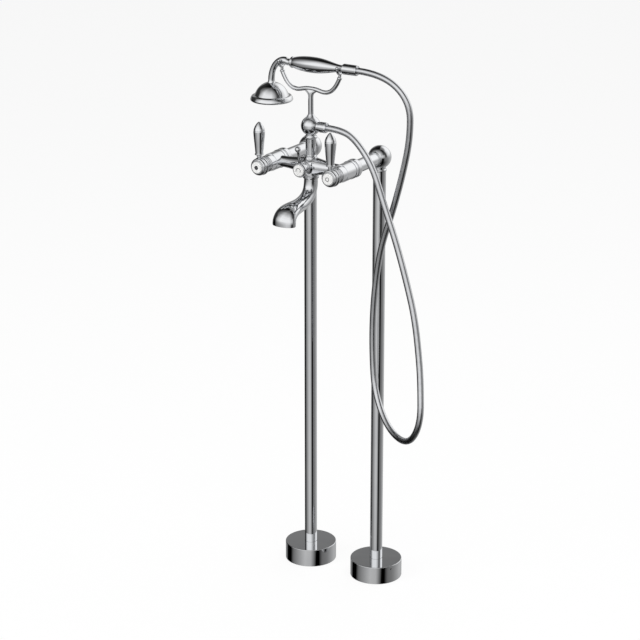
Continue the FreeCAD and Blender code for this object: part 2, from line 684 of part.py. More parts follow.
# ---------------------------------------------------------------- diverter
def make_diverter():
    axis = (0, 0, AXIS_Z)
    back = DIVERTER_FRONT - DIVERTER_DEPTH
    neck_end = DIVERTER_FRONT + DIVERTER_BONNET_LEN
    cartridge = rod(DIVERTER_CARTRIDGE_R, back, DIVERTER_FRONT)
    cartridge = cartridge.fuse(rod(DIVERTER_NECK_R, DIVERTER_FRONT, neck_end - 1))
    port = rod(DIVERTER_CARTRIDGE_R * 0.35, -2 * DIVERTER_CARTRIDGE_R, 2 * DIVERTER_CARTRIDGE_R)
    cartridge = cartridge.cut(put(port, (0, 0, BODY_D), RIGHT))
    spindle_start = DIVERTER_FRONT - SPINDLE_DEPTH
    hole = rod(DIVERTER_SPINDLE_R + SPINDLE_RUN, spindle_start - 0.2, neck_end)
    nodes["diverter_cartridge"] = put(cartridge.cut(hole), axis, FRONT)

    bonnet_r = DIVERTER_HUB_R - 1.6
    bonnet = turned(
        (DIVERTER_FRONT, bonnet_r - 0.6),
        ("arc", (DIVERTER_FRONT + 1.6, bonnet_r), (DIVERTER_FRONT + 3.2, bonnet_r - 0.6)),
        (DIVERTER_FRONT + 3.6, bonnet_r - 1.8),
        (neck_end - 1.6, bonnet_r - 2.2),
        ("arc", (neck_end - 0.8, bonnet_r - 1.6), (neck_end, bonnet_r - 2.2)),
    )
    nodes["diverter_bonnet"] = put(bonnet.cut(rod(DIVERTER_NECK_R, DIVERTER_FRONT - 1, neck_end + 1)), axis, FRONT)

    hub_back = DIVERTER_HUB_BACK
    hub_front = DIVERTER_HUB_FRONT
    lever_d = hub_back + DIVERTER_HUB_LEN * 0.44
    root_r = DIVERTER_STEM_R + 0.4
    spindle_end = lever_d + 1
    nodes["diverter_spindle"] = put(rod(DIVERTER_SPINDLE_R, spindle_start, spindle_end), axis, FRONT)
    hub = turned(
        (hub_back, DIVERTER_HUB_R - 3.6),
        (hub_back + 1.0, DIVERTER_HUB_R - 1.4),
        ("arc", (lever_d, DIVERTER_HUB_R), (hub_front - 1.4, DIVERTER_HUB_R - 0.9)),
        ("arc", (hub_front - 0.5, DIVERTER_HUB_R - 1.4), (hub_front, DIVERTER_HUB_R - 2.2)),
    )
    cap_floor = hub_front - DIVERTER_CAP_RECESS
    hub = hub.cut(rod(DIVERTER_CAP_R, cap_floor, hub_front + 1))
    hub = put(hub.cut(rod(DIVERTER_SPINDLE_R, hub_back - 1, spindle_end)), axis, FRONT)
    root_h = DIVERTER_HUB_R - 5.5
    root = V(0, -lever_d, AXIS_Z + root_h)
    ball = V(0, -lever_d - DIVERTER_LEAN, AXIS_Z + DIVERTER_REACH)
    way = ball - root
    reach = way.Length
    socket = rod(root_r, 0, 12)
    nodes["diverter_hub"] = hub.cut(put(socket, tuple(root), tuple(way)))
    lever = turned(
        (0, root_r),
        (7.5, root_r),
        ("curve", (12, DIVERTER_STEM_R + 0.2), (reach - 12, DIVERTER_STEM_R - 0.4), (reach - 4, DIVERTER_STEM_R)),
    )
    lever = lever.fuse(Part.makeSphere(DIVERTER_BALL_R, V(0, 0, reach)))
    nodes["diverter_lever"] = put(lever, tuple(root), tuple(way))
    cap = turned(
        (cap_floor, DIVERTER_CAP_R),
        (hub_front + 0.2, DIVERTER_CAP_R),
        ("arc", (hub_front + 0.8, DIVERTER_CAP_R - 0.4), (hub_front + 1.0, DIVERTER_CAP_R - 1.2)),
    )
    nodes["diverter_cap"] = put(cap, axis, FRONT)


# ---------------------------------------------------------------- spout
def spout_stations():
    """Centres, directions and half sizes of the spout's sections, from its top to its mouth."""
    collar_foot = SPOUT_TOP - SPOUT_COLLAR_H
    end_z = AXIS_Z - SPOUT_DROP
    drop = collar_foot - end_z
    wide = MOUTH_HALF_WIDTH
    deep = MOUTH_HALF_DEPTH
    shape = (
        # share of the reach, share of the drop, tangent (forward, down), half width, half height
        (0.0, -0.04, (0, 1), SPOUT_R, SPOUT_R),
        (0.0, 0.1, (0, 1), SPOUT_R, SPOUT_R),
        (0.035, 0.31, (0.3, 1), SPOUT_R, SPOUT_R),
        (0.12, 0.46, (1, 1), SPOUT_R + 0.1, SPOUT_R + 0.1),
        (0.265, 0.565, (1, 0.45), SPOUT_R + 0.4, SPOUT_R + 0.1),
        (0.49, 0.63, (1, 0.16), SPOUT_R + 2.0, SPOUT_R),
        (0.71, 0.65, (1, 0.1), SPOUT_R + 5.6, SPOUT_R + 0.2),
        (0.89, 0.71, (1, 0.65), wide - 2.0, deep + 0.2),
        (0.985, 0.85, (0.2, 1), wide - 0.3, deep),
        (1.0, 1.0, (0, 1), wide, deep),
    )
    stations = []
    for along, down, (forward, fall), half_x, half_other in shape:
        centre = V(0, BODY_Y - along * SPOUT_REACH, collar_foot - down * drop)
        stations.append((centre, (0, -forward, -fall), half_x, half_other))
    return stations


def make_spout():
    stations = spout_stations()
    sections = [oval(c, t, ACROSS, a, b) for c, t, a, b in stations]
    spout = Part.makeLoft(sections, True, False)
    axis = (0, BODY_Y, 0)
    collar_foot = SPOUT_TOP - SPOUT_COLLAR_H
    collar = turned(
        (collar_foot, SPOUT_R - 1),
        (collar_foot, SPOUT_R + 0.6),
        ("arc", (collar_foot + 1.0, SPOUT_COLLAR_R - 0.4), (collar_foot + 2.5, SPOUT_COLLAR_R)),
        (SPOUT_TOP - 0.6, SPOUT_COLLAR_R),
        (SPOUT_TOP, SPOUT_COLLAR_R - 0.6),
    )
    spigot = rod(SPIGOT_R, SPOUT_TOP, SPOUT_TOP + SPIGOT_DEPTH - 1)
    groove = tube(SPIGOT_R + 1, SPIGOT_R - 2 * O_RING_R, SPOUT_TOP + 2, SPOUT_TOP + 2 + 2.4 * O_RING_R)
    spout = spout.fuse([put(collar, axis, UP), put(spigot.cut(groove), axis, UP)])
    mouth_c, mouth_t, mouth_a, mouth_b = stations[-1]
    seat_z = mouth_c.z + MOUTH_RECESS
    way_points = [V(0, BODY_Y, SPOUT_TOP + SPIGOT_DEPTH), V(0, BODY_Y, SPOUT_TOP - 1)]
    way_points += [c for c, t, a, b in stations[2:-2]]
    way_points.append(V(0, mouth_c.y, seat_z + AERATOR_LEN - 2))
    path = Part.BSplineCurve()
    path.interpolate(way_points)
    bore = swept(Part.Wire(path.toShape()), SPOUT_BORE_R * 0.72)
    spout = spout.cut(bore)
    recess = []
    for lift in (-1.0, MOUTH_RECESS):
        level = mouth_c + V(0, 0, lift)
        recess.append(oval(level, mouth_t, ACROSS, mouth_a - MOUTH_WALL, mouth_b - MOUTH_WALL))
    spout = spout.cut(Part.makeLoft(recess, True, True))
    mouth = (0, mouth_c.y, 0)
    spout = spout.cut(put(rod(AERATOR_R, seat_z - 1, seat_z + AERATOR_LEN), mouth, UP))
    nodes["spout"] = spout
    nodes["spout_o_ring"] = put(ring(SPIGOT_R - O_RING_R, O_RING_R, SPOUT_TOP + 2 + 1.2 * O_RING_R), axis, UP)

    aerator = rod(AERATOR_R, seat_z, seat_z + AERATOR_LEN - 1)
    aerator = aerator.cut(rod(AERATOR_R - 1.5, seat_z - 1, seat_z + 2))
    aerator = aerator.cut(rod(AERATOR_R - 1.5, seat_z + 4, seat_z + AERATOR_LEN))
    for count, radius in ((1, 0.0), (6, AERATOR_R * 0.5)):
        for i in range(count):
            angle = 2 * math.pi * i / count
            hole = Part.makeCylinder(1.2, 4, V(radius * math.cos(angle), radius * math.sin(angle), seat_z + 1))
            aerator = aerator.cut(hole)
    nodes["aerator"] = put(aerator, mouth, UP)


# ---------------------------------------------------------------- column and cradle
def make_column():
    axis = (0, BODY_Y, 0)
    column = turned(
        (COLUMN_FOOT, COLUMN_R),
        (COLUMN_FOOT + 1.2, COLUMN_R + 0.6),
        (COLUMN_FOOT + 2.4, COLUMN_R),
        (COLUMN_TOP, COLUMN_R),
    )
    column = column.fuse(rod(COLUMN_R - 1.6, COLUMN_FOOT - SPIGOT_DEPTH + 1, COLUMN_FOOT))
    column = column.cut(rod(BODY_BORE_R, COLUMN_FOOT - SPIGOT_DEPTH, COLUMN_TOP + 1))
    nodes["riser_column"] = put(column, axis, UP)

    nut_top = COLUMN_TOP + COLLAR_NUT_H
    nut = turned(
        (COLUMN_TOP, COLLAR_NUT_R - 1.2),
        ("arc", (COLUMN_TOP + COLLAR_NUT_H / 2, COLLAR_NUT_R), (nut_top, COLLAR_NUT_R - 1.2)),
    )
    nodes["collar_nut"] = put(nut.cut(rod(BODY_BORE_R, COLUMN_TOP - 1, nut_top + 1)), axis, UP)

    tip = BALL_Z + BALL_TIP
    shoulder = BALL_R * 0.62
    shoulder_r = math.sqrt(BALL_R ** 2 - shoulder ** 2)
    foot = turned(
        (nut_top, BALL_R * 0.52),
        (nut_top + 1.0, BALL_R * 0.5),
        (BALL_Z - BALL_R * 0.5, BALL_R * 0.53),
    )
    crown = turned(
        (BALL_Z + shoulder - 1.0, shoulder_r),
        ("curve", (BALL_Z + BALL_R * 0.9, BALL_R * 0.47), (tip, STEM_R + 0.4)),
    )
    ball = Part.makeSphere(BALL_R, V(0, 0, BALL_Z)).fuse(foot).fuse(crown)
    centre = (0, BODY_Y, BALL_Z)
    boss = rod(OUTLET_BOSS_R, 0, OUTLET_BOSS_END)
    nipple = rod(NIPPLE_R, OUTLET_BOSS_END, OUTLET_BOSS_END + NIPPLE_LEN)
    ball.rotate(V(0, 0, 0), V(0, 0, 1), 90)
    ball = put(ball, axis, UP).fuse(put(boss.fuse(nipple), centre, RIGHT))
    ball = ball.cut(put(rod(BODY_BORE_R, nut_top - 1, BALL_Z), axis, UP))
    ball = ball.cut(put(rod(BODY_BORE_R - 2, 0, OUTLET_BOSS_END + NIPPLE_LEN + 1), centre, RIGHT))
    ball = ball.cut(put(rod(STEM_R, tip - STEM_SOCKET, tip + 1), axis, UP))
    nodes["cradle_ball"] = ball

    nut = turned(
        (OUTLET_BOSS_END, HOSE_NUT_R - 0.8),
        (OUTLET_BOSS_END + 0.8, HOSE_NUT_R),
        (HOSE_NUT_END - 4, HOSE_NUT_R),
        ("curve", (HOSE_NUT_END - 1.5, HOSE_NUT_R - 0.4), (HOSE_NUT_END, HOSE_NUT_R - 1.2)),
    )
    nut = nut.cut(rod(NIPPLE_R, OUTLET_BOSS_END - 1, OUTLET_BOSS_END + NIPPLE_LEN + 1))
    nodes["hose_nut_lower"] = put(nut.cut(rod(HOSE_BORE_R, 0, HOSE_NUT_END + 1)), centre, RIGHT)


def make_yoke():
    """Stem, bow-shaped arms and the two cups that hold the handset."""
    dip = YOKE_Z
    cup_r = NECK_R + FORK_GAP + FORK_WIRE_R
    cup_foot = HANDLE_Z - cup_r
    arm_end_z = cup_foot - 8.5
    half = (
        # share of the fork's distance, height
        (0.0, dip + YOKE_HUMP),
        (0.2, dip + YOKE_HUMP * 0.78),
        (0.47, dip),
        (0.655, dip + 2.7),
        (0.83, dip + 0.42 * (arm_end_z - dip)),
        (0.945, dip + 0.82 * (arm_end_z - dip)),
        (0.985, arm_end_z),
    )
    points = [V(-s * FORK_X, BODY_Y, z) for s, z in reversed(half)]
    points += [V(s * FORK_X, BODY_Y, z) for s, z in half[1:]]
    bow = Part.BSplineCurve()
    bow.interpolate(points)
    yoke = swept(Part.Wire(bow.toShape()), YOKE_R)
    stem = rod(STEM_R, BALL_Z + BALL_TIP - STEM_SOCKET, dip - 6)
    web = []
    for z, half_x, half_y in (
        # the web grows out of the stem and dies into the bow
        (dip - 14, STEM_R - 0.8, STEM_R - 0.8),
        (dip - 9, STEM_R + 0.2, STEM_R + 0.2),
        (dip - 5, STEM_R + 2.2, STEM_R + 0.2),
        (dip - 1.5, STEM_R + 6.8, STEM_R - 0.4),
        (dip + YOKE_HUMP - 1, STEM_R + 11, STEM_R - 1.6),
    ):
        web.append(oval(V(0, 0, z), UP, ACROSS, half_x, half_y))
    yoke = yoke.fuse([put(stem, (0, BODY_Y, 0), UP), put(Part.makeLoft(web, True, False), (0, BODY_Y, 0), UP)])
    for side in (-1, 1):
        x = side * FORK_X
        end = V(side * 0.985 * FORK_X, BODY_Y, arm_end_z)
        way = V(x, BODY_Y, cup_foot + 0.5) - end
        reach = way.Length
        neck = turned(
            (-1.5, YOKE_R - 0.6),
            ("arc", (0.6, YOKE_R + 0.7), (2.4, YOKE_R - 0.7)),
            (3.0, YOKE_R - 1.2),
            (reach, FORK_WIRE_R + 0.2),
        )
        neck = put(neck, tuple(end), tuple(way))
        low = HANDLE_Z
        tip = HANDLE_Z + FORK_TIP_RISE
        edges = [
            Part.LineSegment(V(x, BODY_Y - cup_r, tip), V(x, BODY_Y - cup_r, low)).toShape(),
            Part.Arc(
                V(x, BODY_Y - cup_r, low), V(x, BODY_Y, low - cup_r), V(x, BODY_Y + cup_r, low)
            ).toShape(),
            Part.LineSegment(V(x, BODY_Y + cup_r, low), V(x, BODY_Y + cup_r, tip)).toShape(),
        ]
        cup = swept(Part.Wire(edges), FORK_WIRE_R)
        balls = [
            Part.makeSphere(FORK_BALL_R, V(x, BODY_Y - cup_r - 0.4, tip)),
            Part.makeSphere(FORK_BALL_R, V(x, BODY_Y + cup_r + 0.4, tip)),
        ]
        yoke = yoke.fuse([neck, cup] + balls)
    nodes["cradle_yoke"] = yoke


# ---------------------------------------------------------------- handset
def make_handset():
    axis = (0, BODY_Y, HANDLE_Z)
    length = GRIP_END - GRIP_START
    grip = turned(
        (GRIP_START, FERRULE_R - 1.0),
        (
            "curve",
            (GRIP_START + 0.08 * length, GRIP_R - 2.9),
            (GRIP_START + 0.24 * length, GRIP_R - 0.6),
            (GRIP_START + 0.38 * length, GRIP_R),
            (GRIP_START + 0.55 * length, GRIP_R - 0.8),
            (GRIP_START + 0.74 * length, GRIP_END_R + 3.6),
            (GRIP_START + 0.86 * length, GRIP_END_R + 1.1),
            (GRIP_START + 0.92 * length, GRIP_END_R + 0.1),
            (GRIP_END, GRIP_END_R),
        ),
    )
    nodes["handset_grip"] = put(grip.cut(rod(GRIP_BORE_R, GRIP_START - 1, GRIP_END + 1)), axis, RIGHT)

    back = GRIP_START - FERRULE_LEN
    ferrule = turned(
        (back, NECK_R + 0.3),
        ("arc", (back + 0.8, FERRULE_R - 0.6), (back + 1.8, FERRULE_R)),
        (GRIP_START - 1.6, FERRULE_R),
        ("arc", (GRIP_START - 0.5, FERRULE_R - 0.4), (GRIP_START, FERRULE_R - 1.0)),
    )
    nodes["handset_ferrule"] = put(ferrule.cut(rod(NECK_BORE_R, back - 1, GRIP_START + 1)), axis, RIGHT)

    top = DOME_TOP
    path = (
        # place along X, height, radius, degrees that the neck has turned from -X down to -Z
        (back, HANDLE_Z, NECK_R - 0.1, 0),
        (back - 8, HANDLE_Z, NECK_R - 0.2, 0),
        (-FORK_X - 4, HANDLE_Z - 0.6, NECK_R - 0.5, 12),
        (HEAD_X + 11.5, HANDLE_Z - 5.6, NECK_BEND_R + 0.1, 43),
        (HEAD_X + 5.2, HANDLE_Z - 14.0, NECK_BEND_R - 0.2, 62),
        (HEAD_X + 1.4, HANDLE_Z - 24.0, NECK_BEND_R - 0.1, 78),
        (HEAD_X + 0.1, HANDLE_Z - 33.0, NECK_BEND_R + 0.2, 88),
        (HEAD_X, top, DOME_TOP_R - 0.6, 90),
    )
    outer = []
    inner = []
    for x, z, radius, turn in path:
        angle = math.radians(turn)
        tangent = (-math.cos(angle), 0, -math.sin(angle))
        centre = V(x, BODY_Y, z)
        outer.append(oval(centre, tangent, V(*FRONT), radius, radius))
        inner.append(oval(centre, tangent, V(*FRONT), NECK_BORE_R, NECK_BORE_R))
    neck = Part.makeLoft(outer, True, False).cut(Part.makeLoft(inner, True, False))
    nodes["handset_neck"] = neck

    head = (HEAD_X, BODY_Y, 0)
    foot = DOME_FOOT
    dome = turned(
        (foot, DOME_R),
        (
            "curve",
            (foot + 0.16 * DOME_H, DOME_R - 1.7),
            (foot + 0.46 * DOME_H, DOME_R - 5.6),
            (foot + 0.76 * DOME_H, DOME_R - 12.2),
            (foot + 0.95 * DOME_H, DOME_TOP_R + 3.4),
            (top, DOME_TOP_R),
        ),
    )
    hollow = turned(
        (foot - 1, DOME_R - DOME_WALL),
        (foot + 0.1 * DOME_H, DOME_R - DOME_WALL - 0.8),
        (
            "curve",
            (foot + 0.42 * DOME_H, DOME_R - 5.6 - DOME_WALL),
            (foot + 0.7 * DOME_H, DOME_R - 12.6 - DOME_WALL),
            (foot + 0.86 * DOME_H, DOME_TOP_R),
        ),
    )
    dome = dome.cut(hollow).cut(rod(NECK_BORE_R, foot, top + 1))
    nodes["spray_dome"] = put(dome, head, UP)

    low = foot - RIM_LEN
    rim = turned(
        (low, RIM_R - 4.0),
        ("arc", (low + 0.9, RIM_R - 1.4), (low + 3.0, RIM_R)),
        ("arc", (low + 5.2, RIM_R - 0.6), (foot - 1.2, RIM_R - 3.0)),
        ("curve", (foot - 0.6, RIM_R - 4.6), (foot, DOME_R)),
    )
    rim = rim.cut(rod(FACE_R, low - 1, low + 1 + FACE_T))
    rim = rim.cut(rod(DOME_R - DOME_WALL, low, foot + 1))
    nodes["spray_rim"] = put(rim, head, UP)

    face = rod(FACE_R, low + 1, low + 1 + FACE_T)
    for radius, count in NOZZLE_RINGS:
        for i in range(count):
            angle = 2 * math.pi * i / count
            place = V(radius * math.cos(angle), radius * math.sin(angle), low)
            face = face.cut(Part.makeCylinder(NOZZLE_R, FACE_T + 3, place))
    face = face.cut(rod(NOZZLE_R, low, low + FACE_T + 3))
    nodes["spray_face"] = put(face, head, UP)

    nipple_end = TAIL_NUT_START + TAIL_NUT_LEN * 0.4
    tail = rod(GRIP_BORE_R, GRIP_END - 8, nipple_end)
    tail = tail.fuse(rod(TAIL_COLLAR_R, GRIP_END, TAIL_NUT_START))
    nodes["handset_tail"] = put(tail.cut(rod(NECK_BORE_R - 0.5, GRIP_END - 9, nipple_end + 1)), axis, RIGHT)

    nut = turned(
        (TAIL_NUT_START, TAIL_NUT_R - 0.7),
        (TAIL_NUT_START + 0.8, TAIL_NUT_R),
        (TAIL_NUT_END - 3.0, TAIL_NUT_R - 0.3),
        ("arc", (TAIL_NUT_END - 0.9, TAIL_NUT_R - 0.5), (TAIL_NUT_END, TAIL_NUT_R - 1.2)),
    )
    nut = nut.cut(rod(GRIP_BORE_R, TAIL_NUT_START - 1, nipple_end + 0.5))
    nodes["hose_nut_upper"] = put(nut.cut(rod(HOSE_BORE_R, 0, TAIL_NUT_END + 1)), axis, RIGHT)


# ---------------------------------------------------------------- hose
def make_hose():
    path, radii = rounded_route(HOSE_POINTS)
    hose = swept(path, HOSE_R).cut(swept(path, HOSE_BORE_R))
    nodes["shower_hose"] = hose
    section = math.pi * (HOSE_R ** 2 - HOSE_BORE_R ** 2)
    print("hose length mm", round(path.Length, 1), "least radius mm", round(min(radii), 1))
    print("hose radii mm", [round(r) for r in radii])
    print("hose volume over section times length", round(hose.Volume / (section * path.Length), 5))


# ---------------------------------------------------------------- build
half_spacing = PIPE_SPACING / 2
for side_name, side_x in (("left", -half_spacing), ("right", half_spacing)):
    make_foot(side_name, side_x)
    make_elbow(side_name, side_x)
    make_union(side_name, side_x)
    make_valve(side_name, side_x)
    make_lever(side_name, side_x)
make_foot_screws((-half_spacing, half_spacing))
make_seals((-half_spacing, half_spacing))
make_body()
make_diverter()
make_spout()
make_column()
make_yoke()
make_handset()
make_hose()

for name, shape in sorted(nodes.items()):
    shape.exportStep(os.path.join("parts", name + ".step"))
    box = shape.BoundBox
    print(
        name, shape.ShapeType, len(shape.Solids), "valid" if shape.isValid() else "INVALID",
        round(shape.Volume, 1), [round(v, 1) for v in (box.XMin, box.XMax, box.YMin, box.YMax, box.ZMin, box.ZMax)],
    )
print("nodes", len(nodes))
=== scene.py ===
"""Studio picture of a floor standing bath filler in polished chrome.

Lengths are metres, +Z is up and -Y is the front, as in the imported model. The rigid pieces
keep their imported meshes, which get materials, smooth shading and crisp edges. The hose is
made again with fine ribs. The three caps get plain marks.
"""

import json
import math

import bmesh
import bpy
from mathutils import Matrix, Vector


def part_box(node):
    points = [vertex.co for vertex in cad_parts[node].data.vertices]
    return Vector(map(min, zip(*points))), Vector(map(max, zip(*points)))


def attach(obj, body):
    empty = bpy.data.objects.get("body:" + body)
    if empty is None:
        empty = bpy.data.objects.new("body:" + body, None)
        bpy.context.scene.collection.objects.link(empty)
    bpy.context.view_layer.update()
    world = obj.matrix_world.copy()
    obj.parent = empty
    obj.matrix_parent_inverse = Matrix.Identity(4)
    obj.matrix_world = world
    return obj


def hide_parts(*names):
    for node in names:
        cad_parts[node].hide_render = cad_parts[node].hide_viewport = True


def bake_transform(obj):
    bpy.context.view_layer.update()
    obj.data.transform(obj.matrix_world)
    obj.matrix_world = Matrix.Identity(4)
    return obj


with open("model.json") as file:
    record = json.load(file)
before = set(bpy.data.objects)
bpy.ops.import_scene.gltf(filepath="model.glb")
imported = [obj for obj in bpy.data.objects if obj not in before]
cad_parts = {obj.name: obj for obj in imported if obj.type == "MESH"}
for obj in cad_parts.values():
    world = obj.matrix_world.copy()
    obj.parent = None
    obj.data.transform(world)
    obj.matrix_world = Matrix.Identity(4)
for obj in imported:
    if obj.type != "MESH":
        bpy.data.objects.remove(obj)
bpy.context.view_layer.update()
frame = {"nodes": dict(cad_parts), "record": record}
scene = bpy.context.scene
MM = 0.001

# ---------------------------------------------------------------- camera
# The camera was fitted to the feet, the axes of the valves and the ends of the handset.
CAMERA_AZIMUTH = math.radians(31.79)     # round from straight in front, towards +X
CAMERA_RISE = math.radians(19.19)        # up from level
CAMERA_DISTANCE = 4.14096
CAMERA_LENS = 121.65                     # millimetres, as the sensor's width
SENSOR_WIDTH = 36.0
LOOK_AT = Vector((-0.0538, 0.0, 0.50169))


def make_camera():
    """The photograph's point of view, level and aimed at the middle of the filler."""
    level = math.cos(CAMERA_RISE)
    back = Vector((
        level * math.sin(CAMERA_AZIMUTH),
        -level * math.cos(CAMERA_AZIMUTH),
        math.sin(CAMERA_RISE),
    ))
    data = bpy.data.cameras.new("camera")
    data.sensor_width = SENSOR_WIDTH
    data.sensor_fit = "HORIZONTAL"
    data.lens = CAMERA_LENS
    camera = bpy.data.objects.new("camera", data)
    camera.location = LOOK_AT + back * CAMERA_DISTANCE
    camera.rotation_euler = (-back).to_track_quat("-Z", "Y").to_euler()
    scene.collection.objects.link(camera)
    scene.camera = camera


# ---------------------------------------------------------------- node helpers
# Nearly all of a noise's values lie in this span, so colours and gloss are spread over it.
NOISE_LOW, NOISE_HIGH = 0.3, 0.7


def feed(tree, socket, value):
    """Sets a socket to a number, or links it to another node's output."""
    if isinstance(value, float):
        socket.default_value = value
    else:
        tree.links.new(value, socket)


def noise(tree, scale, detail, stretch=(1.0, 1.0, 1.0)):
    """Noise fixed to the object's own space, drawn out along an axis where stretch says."""
    place = tree.nodes.new("ShaderNodeTexCoord")
    mapping = tree.nodes.new("ShaderNodeMapping")
    mapping.inputs["Scale"].default_value = stretch
    texture = tree.nodes.new("ShaderNodeTexNoise")
    texture.inputs["Scale"].default_value = scale
    texture.inputs["Detail"].default_value = detail
    tree.links.new(place.outputs["Object"], mapping.inputs["Vector"])
    tree.links.new(mapping.outputs["Vector"], texture.inputs["Vector"])
    return texture.outputs["Fac"]


def spread(tree, source, start, end, low=0.0, high=1.0):
    """The source's span from start to end, spread over low to high."""
    node = tree.nodes.new("ShaderNodeMapRange")
    node.inputs["From Min"].default_value = start
    node.inputs["From Max"].default_value = end
    node.inputs["To Min"].default_value = low
    node.inputs["To Max"].default_value = high
    tree.links.new(source, node.inputs["Value"])
    return node.outputs["Result"]


def ramp(tree, source, stops):
    """Colours read off a ramp of (position, colour) stops."""
    node = tree.nodes.new("ShaderNodeValToRGB")
    elements = node.color_ramp.elements
    elements.remove(elements[1])
    elements[0].position = stops[0][0]
    elements[0].color = (*stops[0][1], 1.0)
    for position, colour in stops[1:]:
        elements.new(position).color = (*colour, 1.0)
    tree.links.new(source, node.inputs["Fac"])
    return node.outputs["Color"]


def tint(tree, source, dark, light):
    """A colour between dark and light, chosen by a noise."""
    return ramp(tree, source, ((NOISE_LOW, dark), (NOISE_HIGH, light)))


def math_node(tree, operation, first, second):
    """A Math node fed by a link or a number on each side."""
    node = tree.nodes.new("ShaderNodeMath")
    node.operation = operation
    feed(tree, node.inputs[0], first)
    feed(tree, node.inputs[1], second)
    return node.outputs["Value"]


def mix_node(tree, blend, share, first, second):
    """Two colours mixed or multiplied."""
    mix = tree.nodes.new("ShaderNodeMix")
    mix.data_type = "RGBA"
    mix.blend_type = blend
    feed(tree, mix.inputs["Factor"], share)
    tree.links.new(first, mix.inputs["A"])
    tree.links.new(second, mix.inputs["B"])
    return mix.outputs["Result"]


def show_camera(tree, share, seen, others, surface):
    """The camera sees that share of one shader; all other rays see only the other one."""
    rays = tree.nodes.new("ShaderNodeLightPath")
    mix = tree.nodes.new("ShaderNodeMixShader")
    seen_share = math_node(tree, "MULTIPLY", rays.outputs["Is Camera Ray"], share)
    tree.links.new(seen_share, mix.inputs["Fac"])
    tree.links.new(others, mix.inputs[1])
    tree.links.new(seen, mix.inputs[2])
    tree.links.new(mix.outputs["Shader"], surface)


# ---------------------------------------------------------------- materials
# Colour wanders between dark and light, and roughness between two values, with a noise of
# the scale and detail in grain. relief is the strength and depth of its fine bumps. The
# chrome's bumps are wiping marks instead, a second noise that is drawn out upwards.
FINISHES = {
    "polished_chrome": {
        "metallic": 1.0, "dark": (0.79, 0.80, 0.82), "light": (0.84, 0.85, 0.86),
        "rough": (0.02, 0.05), "grain": (26.0, 5.0), "relief": (0.02, 0.00003),
        "wipes": (420.0, 2.0, (1.0, 1.0, 0.08)),
    },
    "hose_metal": {
        "metallic": 1.0, "dark": (0.72, 0.73, 0.75), "light": (0.80, 0.81, 0.83),
        "rough": (0.10, 0.19), "grain": (60.0, 4.0), "relief": (0.05, 0.00005),
    },
    "raw_brass": {
        "metallic": 1.0, "dark": (0.62, 0.45, 0.21), "light": (0.72, 0.55, 0.29),
        "rough": (0.22, 0.38), "grain": (300.0, 3.0), "relief": (0.12, 0.0001),
    },
    "screw_steel": {
        "metallic": 1.0, "dark": (0.40, 0.40, 0.41), "light": (0.55, 0.55, 0.56),
        "rough": (0.25, 0.42), "grain": (500.0, 3.0), "relief": (0.15, 0.0001),
    },
    "seal_rubber": {
        "dark": (0.012, 0.012, 0.013), "light": (0.03, 0.03, 0.032),
        "rough": (0.55, 0.75), "grain": (400.0, 4.0), "relief": (0.2, 0.0001),
    },
    "white_enamel": {
        "dark": (0.80, 0.80, 0.79), "light": (0.88, 0.88, 0.87), "coat": 0.4,
        "rough": (0.10, 0.18), "grain": (120.0, 3.0), "relief": (0.04, 0.00005),
    },
    "grey_plastic": {
        "dark": (0.46, 0.47, 0.48), "light": (0.54, 0.55, 0.56),
        "rough": (0.32, 0.48), "grain": (700.0, 3.0), "relief": (0.15, 0.0001),
    },
    "mark_paint": {
        "dark": (0.03, 0.03, 0.035), "light": (0.06, 0.06, 0.065),
        "rough": (0.25, 0.4), "grain": (300.0, 3.0),
    },
}


def new_material(name):
    """An empty node material with its shader and output joined."""
    material = bpy.data.materials.new(name)
    material.use_nodes = True
    tree = material.node_tree
    tree.nodes.clear()
    output = tree.nodes.new("ShaderNodeOutputMaterial")
    shader = tree.nodes.new("ShaderNodeBsdfPrincipled")
    tree.links.new(shader.outputs["BSDF"], output.inputs["Surface"])
    return material, tree, shader


def make_finish(name, dark, light, rough, grain, relief=None, wipes=None, metallic=0.0, coat=0.0):
    """One of the finishes above as a node material."""
    material, tree, shader = new_material(name)
    cloud = noise(tree, *grain)
    gloss = spread(tree, cloud, NOISE_LOW, NOISE_HIGH, *rough)
    tree.links.new(tint(tree, cloud, dark, light), shader.inputs["Base Color"])
    tree.links.new(gloss, shader.inputs["Roughness"])
    shader.inputs["Metallic"].default_value = metallic
    shader.inputs["Coat Weight"].default_value = coat
    if relief:
        bump = tree.nodes.new("ShaderNodeBump")
        bump.inputs["Strength"].default_value = relief[0]
        bump.inputs["Distance"].default_value = relief[1]
        tree.links.new(noise(tree, *wipes) if wipes else cloud, bump.inputs["Height"])
        tree.links.new(bump.outputs["Normal"], shader.inputs["Normal"])
    return material


MATERIALS = {name: make_finish(name, **finish) for name, finish in FINISHES.items()}

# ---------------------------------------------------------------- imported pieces
WELD_DISTANCE = 0.000002
CRISP_ANGLE = math.radians(34.0)         # edges sharper than this stay crisp
FLAT_WEIGHT = 100                        # wide flat faces set the shading at their edges


def dress_cad_nodes():
    """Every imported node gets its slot's material and smooth shading with crisp edges."""
    slots = {part["node"]: part["material_slot"] for part in frame["record"]["subparts"]}
    for name, node in frame["nodes"].items():
        node.data.materials.clear()
        node.data.materials.append(MATERIALS[slots[name]])
        weld = node.modifiers.new("weld", "WELD")
        weld.merge_threshold = WELD_DISTANCE
        node.data.shade_smooth()
        crisp = node.modifiers.new("crisp", "EDGE_SPLIT")
        crisp.split_angle = CRISP_ANGLE
        flat = node.modifiers.new("flat", "WEIGHTED_NORMAL")
        flat.mode = "FACE_AREA"
        flat.weight = FLAT_WEIGHT


